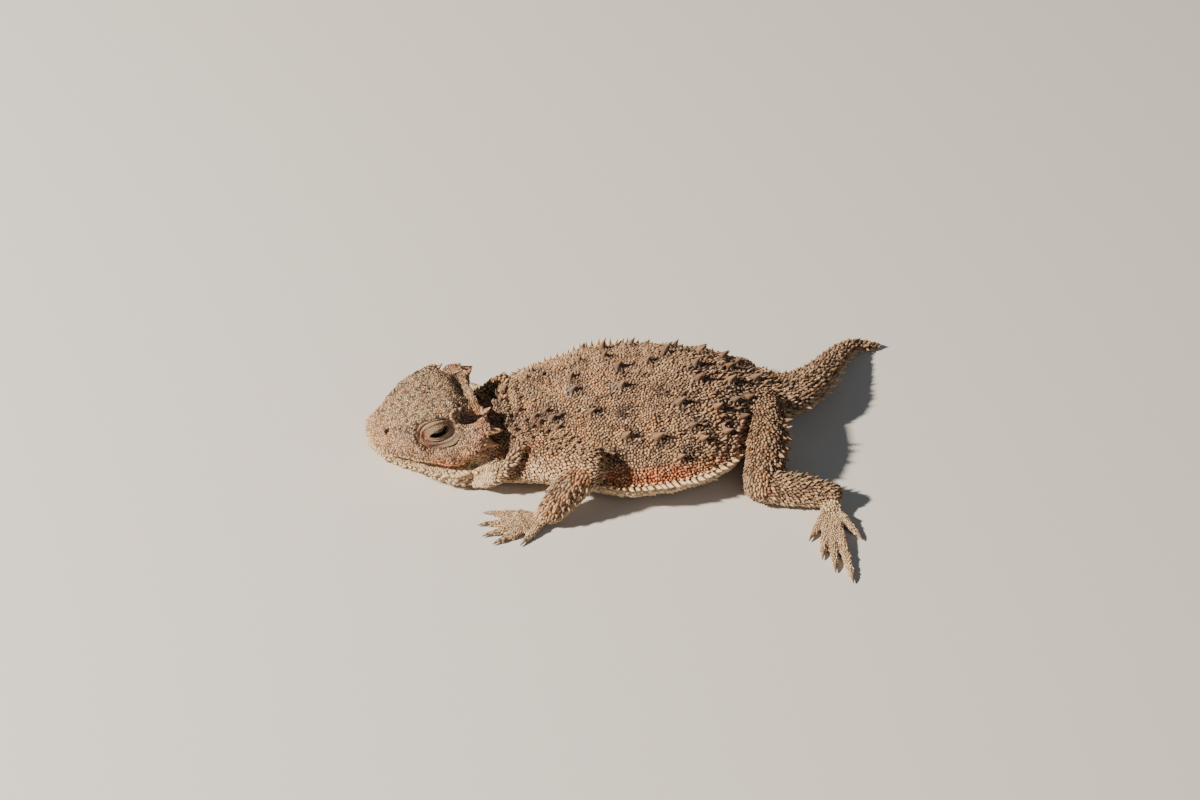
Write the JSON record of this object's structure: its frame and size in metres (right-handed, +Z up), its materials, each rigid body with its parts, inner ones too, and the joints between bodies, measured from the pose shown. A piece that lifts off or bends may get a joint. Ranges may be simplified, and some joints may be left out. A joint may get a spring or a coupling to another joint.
{
  "type": "short-horned lizard",
  "caption": "Plump, flat-bodied horned lizard at life size, resting on its belly with spread feet, raised head, stub horns, spiny back and a pale fringe along each flank.",
  "frame": {"origin": "on the floor, at the middle of the flat that the belly rests on, under the widest part of the trunk", "axes": "+Z up; the snout points to -X and the tail to +X; the animal's left side is -Y"},
  "size_m": [0.0755, 0.0525, 0.0127],
  "materials": {
    "skin": "dry granular scales, tan and pinkish brown, matt",
    "pale_skin": "small smooth scales, cream to yellowish, matt",
    "horn": "keratin horn, salmon brown, satin",
    "eye": "wet dark eye, glossy"
  },
  "bodies": {
    "root": {"head": "skin", "jaw": "pale_skin", "eye_left": "eye", "eye_right": "eye", "horn_brow_left": "horn", "horn_brow_right": "horn", "horn_occipital_left": "horn", "horn_occipital_right": "horn", "horn_temporal_1_left": "horn", "horn_temporal_1_right": "horn", "horn_temporal_2_left": "horn", "horn_temporal_2_right": "horn", "horn_temporal_3_left": "horn", "horn_temporal_3_right": "horn", "neck": "skin", "torso": "skin", "tail_base": "skin", "tail_tip": "skin", "upper_arm_left": "skin", "forearm_left": "skin", "hand_left": "pale_skin", "upper_arm_right": "skin", "forearm_right": "skin", "hand_right": "pale_skin", "thigh_left": "skin", "shank_left": "skin", "foot_left": "pale_skin", "thigh_right": "skin", "shank_right": "skin", "foot_right": "pale_skin"}
  },
  "joints": []
}
